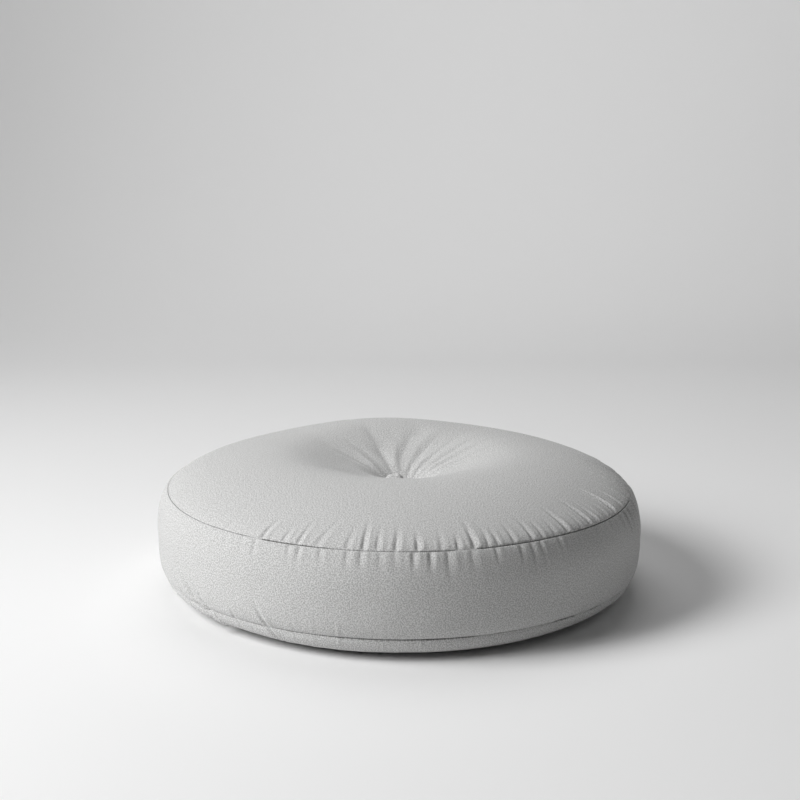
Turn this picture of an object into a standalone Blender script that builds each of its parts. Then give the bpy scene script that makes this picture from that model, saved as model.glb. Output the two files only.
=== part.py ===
"""A round boxed floor cushion, 450 mm across, of plain woven cloth.

Three pieces of cloth are sewn together: a round top panel, a side band and a round bottom panel.
The side band is modelled with the filling that it holds, as one solid. The two panels are sheets
that lie on it with a hair of clearance. One tuft pinches the top panel down at its centre.

Frame: metres, +Z up, the origin on the floor under the tuft, the front of the cushion towards -Y.
An angle is in degrees round the cushion, 0 at the front and positive towards +X.
"""

from collections import namedtuple

import bmesh
import bpy
import numpy as np

MM = 0.001

# Outline of the cushion, as radii and heights in its upright section.
BULGE_RADIUS = 225.0 * MM
BULGE_HEIGHT = 59.0 * MM
TOP_SEAM_RADIUS = 215.0 * MM
TOP_SEAM_HEIGHT = 93.0 * MM
BOTTOM_SEAM_RADIUS = 219.4 * MM
BOTTOM_SEAM_HEIGHT = 20.4 * MM
FOOT_RADIUS = 175.0 * MM
CROWN_RADIUS = 110.0 * MM
CROWN_HEIGHT = 124.5 * MM

# How the outline curves from one of those places to the next: the slope in radians at which the
# crown comes down to its seam, and how far each end of a curve holds its first direction.
SEAM_SLOPE = 0.80
SEAM_REACH = 22.0 * MM
CROWN_REACH = 35.0 * MM
BULGE_REACH = 18.0 * MM
FOOT_REACH = 17.0 * MM

# The same at the seams, as steps outwards and upwards.
TOP_SEAM_STEP = np.array([4.0, -6.0]) * MM
BOTTOM_SEAM_STEP = np.array([5.0, 8.0]) * MM

# The heel is where the strip under the lower seam turns in towards the foot. place: its radius and
# height. from_seam: the strip's step down from its seam. back: the step from the heel back up the
# strip. onward: how many times that step the underside holds its direction past the heel.
Heel = namedtuple("Heel", "place from_seam back onward")
HEEL = Heel(np.array([213.6, 11.0]) * MM, np.array([-1.6, -4.8]) * MM, np.array([2.6, 1.2]) * MM, 3.8)
FULL_HEEL = Heel(np.array([212.5, 7.4]) * MM, np.array([0.0, -6.5]) * MM, np.array([4.4, 2.2]) * MM, 2.4)

# The heel stands fuller and lower at the front, over this many degrees to either side of a middle,
# and goes over to its other form within the last of them.
FULL_MIDDLE = 5.0
FULL_STRETCH = 52.0
FULL_FADE = 28.0

# The tuft: a wide shallow dish with a narrow pinch in its middle.
DISH_DEPTH = 25.0 * MM
PINCH_DEPTH = 8.0 * MM
PINCH_RUN = 5.0 * MM
PINCH_ROUND = 2.0 * MM

# The cloth, and the clearance between pieces that lie on each other.
CLOTH = 1.8 * MM
CLEARANCE = 0.3 * MM

# Beside each seam the cloth stands a little proud of its smooth line.
PILLOW = 0.9 * MM
PILLOW_REACH = 20.0 * MM

# Points round the cushion in a seam and in a plain row. A row across folds has a point in each
# trough and one on each flank, and its steps stay between a widest and a narrowest, in degrees.
RIM_STEPS = 120
PLAIN_STEPS = 90
WIDEST_STEP = 5.0
NARROWEST_STEP = 0.45
FLANK = 1.2

# Where the rows of points lie: distances from a seam, and radii on the crown and underneath.
PUCKER_RUNS = (3.0 * MM, 7.5 * MM, 14.0 * MM, 24.0 * MM)
LOW_RUNS = (4.0 * MM, 10.0 * MM, 18.0 * MM)
BAND_PLAIN_RUNS = (36.0 * MM, 46.0 * MM)
TUFT_ROW_RADII = (3.5 * MM, 8.0 * MM, 15.0 * MM, 24.0 * MM, 36.0 * MM, 52.0 * MM, 72.0 * MM, 96.0 * MM)
CROWN_ROW_RADII = (118.0 * MM, 140.0 * MM, 162.0 * MM, 182.0 * MM)
UNDERSIDE_ROW_RADII = (217.0 * MM, 213.6 * MM, 208.0 * MM, 200.0 * MM, 188.0 * MM, FOOT_RADIUS)

# The point under the tuft lies deeper than the cloth is thick, so that its slopes stay as thick.
TIP_MITRE = 1.3

# A fold runs out from a seam or from the tuft. angle: where it starts, in degrees. depth: of its
# trough, in mm, negative for a ridge. reach: how far it runs, in mm. width: half the trough's width,
# in mm at a seam and in degrees at the tuft. lean: degrees that it turns for each 10 mm that it runs.
Fold = namedtuple("Fold", "angle depth reach width lean")
LEAN_RUN = 10.0 * MM

# The share of its reach at which a fold is deepest, and the two low shoulders beside its trough:
# their height as a share of its depth, and their place and width in half widths of the trough.
PEAK_SHARE = 0.25
SHOULDER_HEIGHT = 0.35
SHOULDER_PLACE = 2.1
SHOULDER_WIDTH = 0.9

TOP_PUCKERS = (
    # angle, depth, reach, width, lean
    Fold(-61, 0.4, 46, 3.4, 0.0),
    Fold(-53, 0.3, 40, 3.4, 0.0),
    Fold(-43, 0.4, 32, 3.2, 0.2),
    Fold(-32, 1.2, 32, 2.8, 0.2),
    Fold(-26, 0.8, 30, 2.8, 0.1),
    Fold(-22, 1.0, 35, 2.6, 0.2),
    Fold(-17, 0.7, 40, 3.2, 0.8),
    Fold(-11, 0.8, 32, 2.8, 0.2),
    Fold(-8, 1.3, 43, 2.6, -0.3),
    Fold(-4.5, 0.9, 35, 2.4, 0.2),
    Fold(-1, 1.3, 46, 2.8, 0.3),
    Fold(4, 1.3, 35, 2.6, 0.0),
    Fold(9, 0.7, 30, 3.0, -0.1),
    Fold(13, 1.1, 27, 2.2, 0.0),
    Fold(17, 1.4, 49, 3.0, 0.1),
    Fold(20.5, 0.9, 32, 2.2, 0.1),
    Fold(24, 0.8, 35, 2.4, -0.2),
    Fold(28, 0.8, 38, 2.6, 0.1),
    Fold(33, 1.0, 43, 2.6, -0.1),
    Fold(37, 0.7, 38, 2.4, 0.2),
    Fold(42, 1.3, 51, 2.8, 0.0),
    Fold(46, 0.7, 35, 2.4, 0.2),
    Fold(51, 1.3, 54, 2.8, -0.1),
    Fold(55, 0.9, 43, 2.2, -0.2),
    Fold(59, 0.7, 38, 2.2, 0.2),
    Fold(63, 1.0, 51, 2.4, -0.1),
    Fold(67, 0.8, 46, 2.2, 0.2),
    Fold(72, 1.0, 57, 2.4, 0.0),
    Fold(77, 0.8, 51, 2.2, 0.2),
    Fold(82, 1.0, 62, 2.4, 0.0),
    Fold(88, 0.8, 59, 2.4, 0.2),
    Fold(94, 1.0, 68, 2.6, 0.1),
)

BAND_PUCKERS = (
    # angle, depth, reach, width, lean
    Fold(-62, 0.3, 40, 3.6, 0.0),
    Fold(-42, 0.5, 32, 3.0, 0.0),
    Fold(-37, 0.5, 32, 3.0, 0.0),
    Fold(-33, 0.8, 27, 2.6, 0.0),
    Fold(-25, 0.8, 30, 2.4, 0.2),
    Fold(-22, 0.8, 32, 2.2, 0.0),
    Fold(-17, 0.8, 35, 2.6, 0.2),
    Fold(-11.5, 0.8, 40, 2.6, -0.1),
    Fold(-8.5, 1.2, 46, 2.4, 0.0),
    Fold(-4, 0.7, 38, 2.8, 0.0),
    Fold(-1, 0.6, 32, 2.6, 0.0),
    Fold(2.5, 1.2, 51, 2.6, -0.2),
    Fold(6.5, 1.2, 46, 2.4, 0.0),
    Fold(10.5, 1.3, 57, 3.4, 0.0),
    Fold(15.5, 0.6, 40, 3.0, 0.2),
    Fold(21, 1.1, 32, 2.2, 0.2),
    Fold(27, 0.8, 35, 2.4, 0.2),
    Fold(30.5, 0.8, 40, 2.4, 0.3),
    Fold(33, 0.7, 38, 2.0, 0.3),
    Fold(38, 0.8, 35, 2.4, 0.4),
    Fold(44, 0.5, 35, 2.4, 0.3),
    Fold(50, 0.7, 35, 2.4, 0.4),
    Fold(57, 0.5, 35, 2.4, 0.3),
    Fold(63, 0.7, 43, 2.2, 0.3),
    Fold(68, 0.6, 46, 2.2, 0.3),
    Fold(73, 0.7, 49, 2.2, 0.2),
    Fold(79, 0.6, 51, 2.4, 0.0),
    Fold(86, 0.6, 51, 2.6, 0.0),
)

LOW_FOLDS = (
    # angle, depth, reach, width, lean
    Fold(-50, 0.9, 35, 2.4, -2.2),
    Fold(-39, -0.7, 32, 1.8, -0.8),
    Fold(-35, -0.4, 27, 1.8, -0.4),
    Fold(-30, -1.2, 54, 2.0, -0.6),
    Fold(-24, -0.4, 27, 1.8, -0.4),
    Fold(-19, -0.4, 27, 1.8, 0.0),
    Fold(-13, -0.4, 24, 1.8, 0.0),
    Fold(-3, -0.3, 24, 1.8, 0.0),
    Fold(6, -0.4, 24, 1.8, 0.0),
    Fold(18, -0.4, 27, 2.2, 0.6),
    Fold(34, 0.5, 32, 2.6, 0.8),
    Fold(42, 0.7, 35, 2.4, 1.0),
    Fold(48, 0.8, 32, 2.2, 1.2),
    Fold(55, 0.6, 32, 2.4, 1.0),
)

TUFT_CREASES = (
    # angle, depth, reach, width, lean
    Fold(-176, 1.0, 70, 5.0, 0.0),
    Fold(-155, 2.6, 80, 6.0, -0.6),
    Fold(-127, 1.6, 95, 8.0, 0.0),
    Fold(-93, 6.0, 150, 14.0, 0.0),
    Fold(-42, 0.8, 60, 11.0, 0.0),
    Fold(-15, 0.8, 50, 11.0, 0.0),
    Fold(24, 0.8, 55, 11.0, 0.0),
    Fold(58, 0.8, 65, 9.0, 0.0),
    Fold(88, 1.0, 90, 7.0, 0.0),
    Fold(105, 1.2, 115, 4.5, 0.0),
    Fold(119, 1.8, 150, 4.5, 0.2),
    Fold(132, 2.0, 120, 4.5, 0.0),
    Fold(146, 2.2, 120, 5.0, 0.0),
    Fold(166, 2.4, 130, 5.5, 0.4),
)

# The side that the tables leave plain has softer, uneven puckers, as far as this angle. Their pitch
# in degrees, depth, reach and width in mm, and the shares of these by which two slow waves vary
# them, with the turn of each wave from one pucker to the next, in radians.
BACK_END = 292.0
BACK_PITCH = 6.5
BACK_DEPTH = 0.8
BACK_REACH = 40.0
BACK_WIDTH = 2.8
BACK_LEAN = 0.4
PITCH_VARIES = 0.3
DEPTH_VARIES = 0.5
REACH_VARIES = 0.3
SWAY_TURN = 2.4
SWING_TURN = 1.7

# Slow waves round the cushion: order, amplitude in mm, and the angle of a crest.
Wave = namedtuple("Wave", "order amplitude crest")
HEIGHT_WAVES = (Wave(1, 1.5, -70), Wave(3, 0.5, 20), Wave(5, 0.25, 50))
CROWN_WAVES = (Wave(1, 2.2, 150), Wave(2, 0.9, 22), Wave(3, 1.5, -50), Wave(4, 0.4, 11))
OUTLINE_WAVES = (Wave(2, 0.6, 50), Wave(4, 0.45, 0), Wave(6, 0.3, 0))

# Light-grey cloth, shaded smooth but for edges sharper than this angle, in radians.
CLOTH_COLOUR = (0.55, 0.55, 0.545, 1.0)
CLOTH_ROUGHNESS = 0.95
CLOTH_SHEEN = 0.2
SHARP_ANGLE = 0.9

# Points along each curve of a profile, and the step under which two of them are one, in metres.
SAMPLES = 600
SAME_POINT = 1e-9

# A closed row of points round the cushion, with the angle of each.
Row = namedtuple("Row", "angles points")


def bezier(first, first_handle, last_handle, last):
    """Points evenly spaced in the parameter of the cubic curve with these ends and handles."""
    t = np.linspace(0.0, 1.0, SAMPLES)[:, None]
    start = (1 - t) ** 3 * first + 3 * t * (1 - t) ** 2 * first_handle
    return start + 3 * t**2 * (1 - t) * last_handle + t**3 * last


class Profile:
    """A smooth line in the cushion's upright section, read by the distance along it.

    All lines run the same way round: out over the top, down the side, and in under the cushion.
    A crowned one follows the crown's slow waves, the others keep their height. One with a fuller
    profile beside it goes over to that at the front.
    """

    def __init__(self, points, crowned=False, fuller=None):
        self.crowned = crowned
        self.fuller = fuller
        steps = np.linalg.norm(np.diff(points, axis=0), axis=1)
        moved = steps > SAME_POINT
        self.points = points[np.concatenate([[True], moved])]
        self.along = np.concatenate([[0.0], np.cumsum(steps[moved])])
        self.length = self.along[-1]
        tangents = np.gradient(self.points, self.along, axis=0)
        self.tangents = tangents / np.linalg.norm(tangents, axis=1, keepdims=True)

    def at(self, distance, inset=0.0):
        """Radius and height at the distance, moved inset towards the filling.

        Past either end the line goes straight on. The inset may be an array.
        """
        inside = min(max(distance, 0.0), self.length)
        beyond = distance - inside
        radius, height = (np.interp(inside, self.along, column) for column in self.points.T)
        outwards, upwards = (np.interp(inside, self.along, column) for column in self.tangents.T)
        radius = radius + outwards * beyond + upwards * inset
        height = height + upwards * beyond - outwards * inset
        return radius, height

    def at_radius(self, radius):
        """The distance at which the line comes to the radius."""
        radii = self.points[:, 0]
        way = 1.0 if radii[-1] > radii[0] else -1.0
        return float(np.interp(way * radius, way * radii, self.along))


def top_profile():
    """The top panel's outer face, from the tuft over the crown and down to its seam."""
    radius = np.linspace(0.0, CROWN_RADIUS, SAMPLES)
    dish = DISH_DEPTH * (1 - (radius / CROWN_RADIUS) ** 2) ** 2
    pinch = PINCH_DEPTH * np.exp(-np.hypot(radius, PINCH_ROUND) / PINCH_RUN)
    crown = np.array([CROWN_RADIUS, CROWN_HEIGHT])
    seam = np.array([TOP_SEAM_RADIUS, TOP_SEAM_HEIGHT])
    rise = SEAM_REACH * np.array([-np.cos(SEAM_SLOPE), np.sin(SEAM_SLOPE)])
    shoulder = bezier(crown, crown + np.array([CROWN_REACH, 0.0]), seam + rise, seam)
    pit = np.stack([radius, CROWN_HEIGHT - dish - pinch], 1)
    return Profile(np.concatenate([pit, shoulder]), crowned=True)


def band_profile():
    """The side band's outer face, from the top seam over the bulge to the bottom seam."""
    top_seam = np.array([TOP_SEAM_RADIUS, TOP_SEAM_HEIGHT])
    bottom_seam = np.array([BOTTOM_SEAM_RADIUS, BOTTOM_SEAM_HEIGHT])
    bulge = np.array([BULGE_RADIUS, BULGE_HEIGHT])
    round_bulge = np.array([0.0, BULGE_REACH])
    upper = bezier(top_seam, top_seam + TOP_SEAM_STEP, bulge + round_bulge, bulge)
    lower = bezier(bulge, bulge - round_bulge, bottom_seam + BOTTOM_SEAM_STEP, bottom_seam)
    return Profile(np.concatenate([upper, lower]))


def bottom_profile(heel, fuller=None):
    """The bottom panel's outer face, from its seam past the heel to the flat foot and the centre."""
    seam = np.array([BOTTOM_SEAM_RADIUS, BOTTOM_SEAM_HEIGHT])
    foot = np.array([FOOT_RADIUS, 0.0])
    strip = bezier(seam, seam + heel.from_seam, heel.place + heel.back, heel.place)
    onward = heel.place - heel.onward * heel.back
    under = bezier(heel.place, onward, foot + np.array([FOOT_REACH, 0.0]), foot)
    return Profile(np.concatenate([strip, under, [(0.0, 0.0)]]), fuller=fuller)


def turned_by(angles, start):
    """The angles measured from start, between -180 and 180."""
    return (angles - start + 180.0) % 360.0 - 180.0


def fullness(angles):
    """How far the heel has gone over to its fuller form at these angles."""
    from_middle = np.abs(turned_by(angles, FULL_MIDDLE))
    return np.clip((FULL_STRETCH - from_middle) / FULL_FADE, 0.0, 1.0)


def swell(run, reach):
    """A fold's strength along its run: none at its start, 1 at its peak, none past its reach."""
    share = min(run / reach, 1.0)
    fall = (1 - PEAK_SHARE) / PEAK_SHARE
    return share / PEAK_SHARE * ((1 - share) / (1 - PEAK_SHARE)) ** fall


def trough(across):
    """The section through a fold, in half widths: a soft trough between two low shoulders."""
    from_shoulder = (np.abs(across) - SHOULDER_PLACE) / SHOULDER_WIDTH
    return SHOULDER_HEIGHT * np.exp(-(from_shoulder**2)) - np.exp(-(across**2))


def middle_of(fold, run):
    """The angle of a fold's trough after this run."""
    return fold.angle + fold.lean * run / LEAN_RUN


def degrees_wide(fold, radius):
    """Half the width of a fold at a seam of this radius, in degrees."""
    return np.degrees(fold.width * MM / radius)


def seam_lift(folds, angles, run, radius):
    """How far the cloth stands out of its smooth line at this distance from a seam."""
    lift = PILLOW * swell(run, PILLOW_REACH) + np.zeros_like(angles)
    for fold in folds:
        across = turned_by(angles, middle_of(fold, run)) / degrees_wide(fold, radius)
        lift += fold.depth * MM * swell(run, fold.reach * MM) * trough(across)
    return lift


def tuft_lift(angles, radius):
    """How far the creases round the tuft move the cloth out of its smooth line, at this radius."""
    lift = np.zeros_like(angles)
    for fold in TUFT_CREASES:
        across = turned_by(angles, middle_of(fold, radius)) / fold.width
        lift += fold.depth * MM * swell(radius, fold.reach * MM) * trough(across)
    return lift


def waves(table, angles):
    """The sum of the table's slow waves round the cushion, in metres."""
    return sum(w.amplitude * MM * np.cos(np.radians(w.order * (angles - w.crest))) for w in table)


def crown_share(radius):
    """How much of the crown's waves a place on top has: none at the tuft and the seam, all between."""
    inner = 1 - (1 - np.minimum(radius / CROWN_RADIUS, 1.0) ** 2) ** 2
    outer = np.clip((radius - CROWN_RADIUS) / (TOP_SEAM_RADIUS - CROWN_RADIUS), 0.0, 1.0)
    return inner * np.cos(outer * np.pi / 2) ** 2


def all_round(puckers):
    """A table's puckers, and after its last one the soft, uneven ones that go on round the back."""
    start = puckers[-1].angle + BACK_PITCH
    folds = []
    for number in range(int((BACK_END - start) / BACK_PITCH)):
        sway = np.sin(SWAY_TURN * number)
        swing = np.cos(SWING_TURN * number)
        folds.append(
            Fold(
                angle=start + BACK_PITCH * (number + PITCH_VARIES * sway),
                depth=BACK_DEPTH * (1 + DEPTH_VARIES * swing),
                reach=BACK_REACH * (1 + REACH_VARIES * sway),
                width=BACK_WIDTH,
                lean=BACK_LEAN * swing,
            )
        )
    return puckers + tuple(folds)


def even_angles(steps):
    """Evenly spaced angles for a plain ring."""
    return np.linspace(-180.0, 180.0, steps, endpoint=False)


def angles_across(folds, run, half_widths):
    """Angles for a ring that crosses these folds: three in each trough, then even steps between."""
    wanted = []
    for fold, half_width in zip(folds, half_widths):
        middle = middle_of(fold, run)
        wanted += [middle - FLANK * half_width, middle, middle + FLANK * half_width]
    wanted = sorted(turned_by(angle, 0.0) for angle in wanted)
    kept = wanted[:1]
    for angle in wanted[1:]:
        if angle - kept[-1] > NARROWEST_STEP:
            kept.append(angle)
    filled = []
    for angle, following in zip(kept, kept[1:] + [kept[0] + 360.0]):
        parts = int(np.ceil((following - angle) / WIDEST_STEP))
        filled += list(np.linspace(angle, following, parts, endpoint=False))
    return np.sort(turned_by(np.array(filled), 0.0))


def ring(profile, angles, distance, inset=0.0):
    """A closed row of points round the cushion. The inset may differ from angle to angle."""
    radius, height = profile.at(distance, inset)
    if profile.fuller:
        share = fullness(angles)
        full_radius, full_height = profile.fuller.at(distance, inset)
        radius = radius + share * (full_radius - radius)
        height = height + share * (full_height - height)
    radius = radius * (1 + waves(OUTLINE_WAVES, angles) / BULGE_RADIUS)
    height = height * (1 + waves(HEIGHT_WAVES, angles) / TOP_SEAM_HEIGHT)
    if profile.crowned:
        height = height + crown_share(profile.at(distance)[0]) * waves(CROWN_WAVES, angles)
    turned = np.radians(angles)
    return Row(angles, np.stack([radius * np.sin(turned), -radius * np.cos(turned), height], 1))


def pole(profile, distance, inset=0.0):
    """The single point on the axis that closes a surface."""
    height = float(profile.at(distance, inset)[1])
    return Row(np.zeros(1), np.array([[0.0, 0.0, height]]))


def seam_ring(profile, folds, run, distance):
    """A row on the outside, across the folds at this distance from their seam."""
    radius = float(profile.at(distance)[0])
    angles = angles_across(folds, run, [degrees_wide(fold, radius) for fold in folds])
    return ring(profile, angles, distance, -seam_lift(folds, angles, run, radius))


def tuft_ring(profile, radius, inset):
    """A row across the creases round the tuft."""
    angles = angles_across(TUFT_CREASES, radius, [fold.width for fold in TUFT_CREASES])
    return ring(profile, angles, profile.at_radius(radius), inset - tuft_lift(angles, radius))


def sew_rows(mesh, first, second):
    """Triangles between two closed rows: each goes to the row whose next point comes sooner.

    Where both come together the inner row goes first, so that faces that lie on each other match.
    """
    inner, outer = sorted((first, second), key=lambda row: row.points[0].co.xy.length)
    steps_in, steps_out = (len(row.points) if len(row.points) > 1 else 0 for row in (inner, outer))
    next_in, next_out = (np.append(row.angles[1:], row.angles[0] + 360.0) for row in (inner, outer))
    i = 0
    o = 0
    while i < steps_in or o < steps_out:
        corners = [inner.points[i % len(inner.points)], outer.points[o % len(outer.points)]]
        if o == steps_out or (i < steps_in and next_in[i] <= next_out[o]):
            i += 1
            corners.append(inner.points[i % len(inner.points)])
        else:
            o += 1
            corners.append(outer.points[o % len(outer.points)])
        mesh.faces.new(corners)


def cloth_material(name):
    """Plain light-grey woven cloth."""
    material = bpy.data.materials.new(name)
    material.use_nodes = True
    shader = material.node_tree.nodes["Principled BSDF"]
    shader.inputs["Base Color"].default_value = CLOTH_COLOUR
    shader.inputs["Roughness"].default_value = CLOTH_ROUGHNESS
    shader.inputs["Metallic"].default_value = 0.0
    shader.inputs["Sheen Weight"].default_value = CLOTH_SHEEN
    material.diffuse_color = CLOTH_COLOUR
    return material


def closed_piece(name, rows, parent):
    """An object whose skin runs through the rows, from one pole to the other."""
    mesh = bmesh.new()
    made = [Row(row.angles, [mesh.verts.new(point) for point in row.points]) for row in rows]
    for first, second in zip(made, made[1:]):
        sew_rows(mesh, first, second)
    bmesh.ops.recalc_face_normals(mesh, faces=mesh.faces)
    data = bpy.data.meshes.new(name)
    mesh.to_mesh(data)
    mesh.free()
    data.shade_smooth()
    data.set_sharp_from_angle(angle=SHARP_ANGLE)
    data.materials.append(cloth_material(name + "_cloth"))
    piece = bpy.data.objects.new(name, data)
    bpy.context.scene.collection.objects.link(piece)
    piece.parent = parent
    return piece


def crown_rows(top, inset):
    """Rows of the crown from the tuft out to the last plain row, this far under the outer face."""
    plain = even_angles(PLAIN_STEPS)
    rows = [pole(top, 0.0, inset * TIP_MITRE)]
    rows += [tuft_ring(top, radius, inset) for radius in TUFT_ROW_RADII]
    rows += [ring(top, plain, top.at_radius(radius), inset) for radius in CROWN_ROW_RADII]
    return rows


def make_top_panel(top, parent):
    """The crowned sheet: its outer face from the tuft to the seam, then its inner face back."""
    puckers = all_round(TOP_PUCKERS)
    outer = crown_rows(top, 0.0)
    outer += [seam_ring(top, puckers, run, top.length - run) for run in reversed(PUCKER_RUNS)]
    edge = [ring(top, even_angles(RIM_STEPS), top.length, inset) for inset in (0.0, CLOTH)]
    inner = crown_rows(top, CLOTH)
    return closed_piece("top_panel", outer + edge + inner[::-1], parent)


def make_side_band(top, band, bottom, parent):
    """The filled solid: its crown under the top panel, the band's face, and its foot."""
    under = CLOTH + CLEARANCE
    rim = even_angles(RIM_STEPS)
    plain = even_angles(PLAIN_STEPS)
    puckers = all_round(BAND_PUCKERS)
    rows = crown_rows(top, under)
    rows += [ring(top, rim, top.length + CLEARANCE, inset) for inset in (under, 0.0)]
    rows += [seam_ring(band, puckers, run, run) for run in PUCKER_RUNS]
    rows += [ring(band, plain, distance) for distance in BAND_PLAIN_RUNS]
    rows += [seam_ring(band, LOW_FOLDS, run, band.length - run) for run in reversed(LOW_RUNS)]
    rows += [ring(bottom, rim, -CLEARANCE, inset) for inset in (0.0, under)]
    rows += [ring(bottom, plain, bottom.at_radius(radius), under) for radius in UNDERSIDE_ROW_RADII]
    rows.append(pole(bottom, bottom.length, under))
    return closed_piece("side_band", rows, parent)


def make_bottom_panel(bottom, parent):
    """The sheet underneath: its inner face from the centre to the seam, then its outer face back."""
    plain = even_angles(PLAIN_STEPS)
    rim = even_angles(RIM_STEPS)
    places = [bottom.at_radius(radius) for radius in UNDERSIDE_ROW_RADII]
    rows = [pole(bottom, bottom.length, CLOTH)]
    rows += [ring(bottom, plain, place, CLOTH) for place in reversed(places)]
    rows += [ring(bottom, rim, 0.0, inset) for inset in (CLOTH, 0.0)]
    rows.append(seam_ring(bottom, LOW_FOLDS, LOW_RUNS[0], LOW_RUNS[0]))
    rows += [ring(bottom, plain, place) for place in places]
    rows.append(pole(bottom, bottom.length))
    return closed_piece("bottom_panel", rows, parent)


def make_cushion():
    """The whole cushion, its pieces under one empty at the origin."""
    for old in list(bpy.data.objects):
        bpy.data.objects.remove(old, do_unlink=True)
    frame = bpy.data.objects.new("cushion_frame", None)
    bpy.context.scene.collection.objects.link(frame)
    top = top_profile()
    band = band_profile()
    bottom = bottom_profile(HEEL, fuller=bottom_profile(FULL_HEEL))
    make_top_panel(top, frame)
    make_side_band(top, band, bottom, frame)
    make_bottom_panel(bottom, frame)


make_cushion()
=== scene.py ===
# %% [markdown]
# # A round boxed floor cushion
#
# The cushion is sewn from three pieces of plain grey cloth: a round top, a side band and a round
# bottom. It is packed hard, so the cloth is stretched between its two seams, and one tuft in the
# middle of the top pulls the cloth down. Each piece could be modelled by hand, or blown up whole
# by a simulation. Here every piece is a surface worked out from its outline, its puckers and its
# tuft, because then each fold lies where the real one does, and a cloth simulation underneath
# adds the slow unevenness that filling gives.
#
# Everything is in metres. The cushion stands on the floor at height 0 with its tuft over the
# origin, and its front faces -Y. An angle is in degrees round it, 0 at the front, positive to +X.

import math

import bpy
import numpy as np
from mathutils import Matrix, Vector


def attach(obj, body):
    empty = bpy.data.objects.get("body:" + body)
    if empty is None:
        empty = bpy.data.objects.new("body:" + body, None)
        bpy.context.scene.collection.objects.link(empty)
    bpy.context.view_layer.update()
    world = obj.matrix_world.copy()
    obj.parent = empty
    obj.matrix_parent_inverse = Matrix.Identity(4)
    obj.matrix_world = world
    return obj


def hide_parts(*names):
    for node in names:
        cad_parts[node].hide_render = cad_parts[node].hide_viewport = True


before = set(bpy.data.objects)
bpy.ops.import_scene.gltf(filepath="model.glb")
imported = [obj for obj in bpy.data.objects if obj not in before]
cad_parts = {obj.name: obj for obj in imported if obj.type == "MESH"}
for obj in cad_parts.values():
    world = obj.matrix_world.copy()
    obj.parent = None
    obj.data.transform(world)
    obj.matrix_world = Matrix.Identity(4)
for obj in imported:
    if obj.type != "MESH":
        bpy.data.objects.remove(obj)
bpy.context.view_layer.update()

# %% [markdown]
# ## The outline
#
# Cut the cushion down the middle and its outline is one line: out from the tuft over the crown to
# the top seam, round the bulge of the band, and in under the bottom seam to the flat foot. It
# could be drawn as a curve object and spun. A line of points in numpy does more: it can be read
# at any distance along it and at any depth under it, so the same line also gives the inside of
# the cloth, the rolled edges at the seams and the direction in which a pucker stands out.

# %% Named sizes, and a line that can be read by distance
MM = 0.001
BULGE = np.array([225.0, 59.0]) * MM
TOP_SEAM = np.array([215.0, 93.0]) * MM
BOTTOM_SEAM = np.array([219.4, 20.4]) * MM
CROWN = np.array([110.0, 124.5]) * MM
FOOT = np.array([175.0, 0.0]) * MM
SEAM_SLOPE = 0.80  # radians, at which the top meets its seam
SAMPLES = 600
SAME_POINT = 1e-9


def bezier(first, first_handle, last_handle, last):
    """The cubic curve (1-t)^3 a + 3t(1-t)^2 b + 3t^2(1-t) c + t^3 d, for t from 0 to 1."""
    t = np.linspace(0.0, 1.0, SAMPLES)[:, None]
    start = (1 - t) ** 3 * first + 3 * t * (1 - t) ** 2 * first_handle
    return start + 3 * t**2 * (1 - t) * last_handle + t**3 * last


class Outline:
    """A line of radii and heights, read by the distance along it.

    All lines run out over the top, down the side and in underneath. Towards the filling is then
    always to the right of the way along: (upwards, -outwards) of the unit tangent.
    """

    def __init__(self, points, crowned=False):
        self.crowned = crowned
        steps = np.linalg.norm(np.diff(points, axis=0), axis=1)
        moved = steps > SAME_POINT
        self.points = points[np.concatenate([[True], moved])]
        self.along = np.concatenate([[0.0], np.cumsum(steps[moved])])
        self.length = self.along[-1]
        tangents = np.gradient(self.points, self.along, axis=0)
        self.tangents = tangents / np.linalg.norm(tangents, axis=1, keepdims=True)

    def at(self, distance, inset):
        """Point at the distance plus inset times the inward direction; straight on past an end."""
        inside = np.clip(distance, 0.0, self.length)
        radius, height = (np.interp(inside, self.along, column) for column in self.points.T)
        outwards, upwards = (np.interp(inside, self.along, column) for column in self.tangents.T)
        beyond = distance - inside
        radius = radius + outwards * beyond + upwards * inset
        return radius, height + upwards * beyond - outwards * inset

    def at_radius(self, radius):
        """The distance at which the line comes to the radius."""
        radii = self.points[:, 0]
        way = 1.0 if radii[-1] > radii[0] else -1.0
        return np.interp(way * np.asarray(radius), way * radii, self.along)


# %% The three outlines
DISH_DEPTH = 25.0 * MM
SHOULDER_PULL = 22.0 * MM


def top_outline():
    """Height = crown - dish (1 - x^2)^2 out to the crown, then a curve down to the seam."""
    radius = np.linspace(0.0, CROWN[0], SAMPLES)
    dish = DISH_DEPTH * (1 - (radius / CROWN[0]) ** 2) ** 2
    hollow = np.stack([radius, CROWN[1] - dish], 1)
    rise = SHOULDER_PULL * np.array([-math.cos(SEAM_SLOPE), math.sin(SEAM_SLOPE)])
    level = np.array([35.0, 0.0]) * MM
    shoulder = bezier(CROWN, CROWN + level, TOP_SEAM + rise, TOP_SEAM)
    return Outline(np.concatenate([hollow, shoulder]), crowned=True)


def band_outline():
    """Two curves that meet upright at the bulge, each leaning outwards at its seam."""
    upright = np.array([0.0, 18.0]) * MM
    above = bezier(TOP_SEAM, TOP_SEAM + np.array([4.0, -6.0]) * MM, BULGE + upright, BULGE)
    below = bezier(BULGE, BULGE - upright, BOTTOM_SEAM + np.array([5.0, 8.0]) * MM, BOTTOM_SEAM)
    return Outline(np.concatenate([above, below]))


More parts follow.
